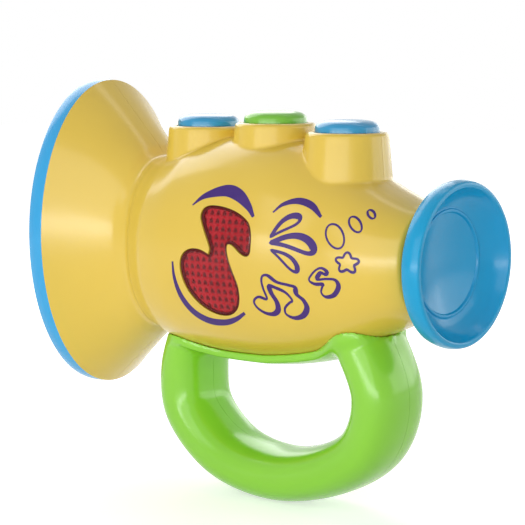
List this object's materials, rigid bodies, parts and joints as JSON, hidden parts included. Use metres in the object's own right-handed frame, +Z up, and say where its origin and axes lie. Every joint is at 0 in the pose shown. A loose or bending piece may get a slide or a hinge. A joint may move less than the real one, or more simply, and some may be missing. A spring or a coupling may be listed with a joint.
{
  "type": "toy trumpet",
  "caption": "Toddler's toy trumpet with an oval bell, sprung keys on bosses, cup mouthpiece, note-shaped light lens and ring handle; holds sound works and AA cells.",
  "frame": {"origin": "middle of the whole toy's bounding box", "axes": "+X along the horn towards the mouthpiece, +Z up through the keys, +Y away from the lens side; the mould seam lies in the plane Y = 0"},
  "size_m": [0.2062, 0.0912, 0.1804],
  "materials": {
    "yellow_plastic": "glossy yellow ABS, faint moulding unevenness",
    "blue_plastic": "glossy sky-blue ABS",
    "green_plastic": "glossy leaf-green ABS",
    "red_lens": "dark red see-through acrylic with a moulded cell pattern",
    "white_plastic": "matt white reflector plastic",
    "black_plastic": "matt black plastic",
    "grey_rubber": "pale grey silicone rubber",
    "board": "green solder-resist board",
    "steel": "zinc-plated steel",
    "cell_jacket": "plain dark shrink-film jacket",
    "speaker_paper": "black paper pulp",
    "red_lamp": "red epoxy lamp body",
    "print_purple": "thin purple pad-printed ink on the shell"
  },
  "bodies": {
    "horn": {"front_shell": "yellow_plastic", "rear_shell": "yellow_plastic", "bell_ring": "blue_plastic", "bell_grille": "blue_plastic", "mouthpiece_cup": "blue_plastic", "handle_front_half": "green_plastic", "handle_rear_half": "green_plastic", "lens": "red_lens", "light_box": "white_plastic", "battery_tray": "black_plastic", "switch_body": "black_plastic", "sound_chip": "black_plastic", "dome_bell_side": "grey_rubber", "dome_middle": "grey_rubber", "dome_mouth_side": "grey_rubber", "key_board": "board", "sound_board": "board", "shell_screw_1": "steel", "shell_screw_2": "steel", "shell_screw_3": "steel", "shell_screw_4": "steel", "shell_screw_5": "steel", "handle_screw_1": "steel", "handle_screw_2": "steel", "handle_screw_3": "steel", "contact_bridge": "steel", "contact_plus": "steel", "contact_minus": "steel", "speaker_frame": "steel", "speaker_magnet": "steel", "battery_upper": "cell_jacket", "battery_lower": "cell_jacket", "speaker_cone": "speaker_paper", "lamp_upper": "red_lamp", "lamp_lower": "red_lamp"},
    "key_bell_side": {"key_bell_side": "blue_plastic"},
    "key_middle": {"key_middle": "green_plastic"},
    "key_mouth_side": {"key_mouth_side": "blue_plastic"},
    "battery_door": {"battery_door": "yellow_plastic", "door_screw": "steel"},
    "switch_knob": {"switch_knob": "black_plastic"}
  },
  "joints": [
    {"name": "press_bell_side", "type": "slide", "parent": "horn", "child": "key_bell_side", "axis": [0, 0, -1], "range_m": [0, 0.0022], "stiffness_N_per_m": 180, "springref_m": -0.002, "deforming": ["dome_bell_side"]},
    {"name": "press_middle", "type": "slide", "parent": "horn", "child": "key_middle", "axis": [0, 0, -1], "range_m": [0, 0.0022], "stiffness_N_per_m": 180, "springref_m": -0.002, "deforming": ["dome_middle"]},
    {"name": "press_mouth_side", "type": "slide", "parent": "horn", "child": "key_mouth_side", "axis": [0, 0, -1], "range_m": [0, 0.0022], "stiffness_N_per_m": 180, "springref_m": -0.002, "deforming": ["dome_mouth_side"]},
    {"name": "battery_door_lift", "type": "slide", "parent": "horn", "child": "battery_door", "axis": [0, 1, 0], "range_m": [0, 0.03]},
    {"name": "switch_slide", "type": "slide", "parent": "horn", "child": "switch_knob", "axis": [1, 0, 0], "range_m": [0, 0.004]}
  ]
}
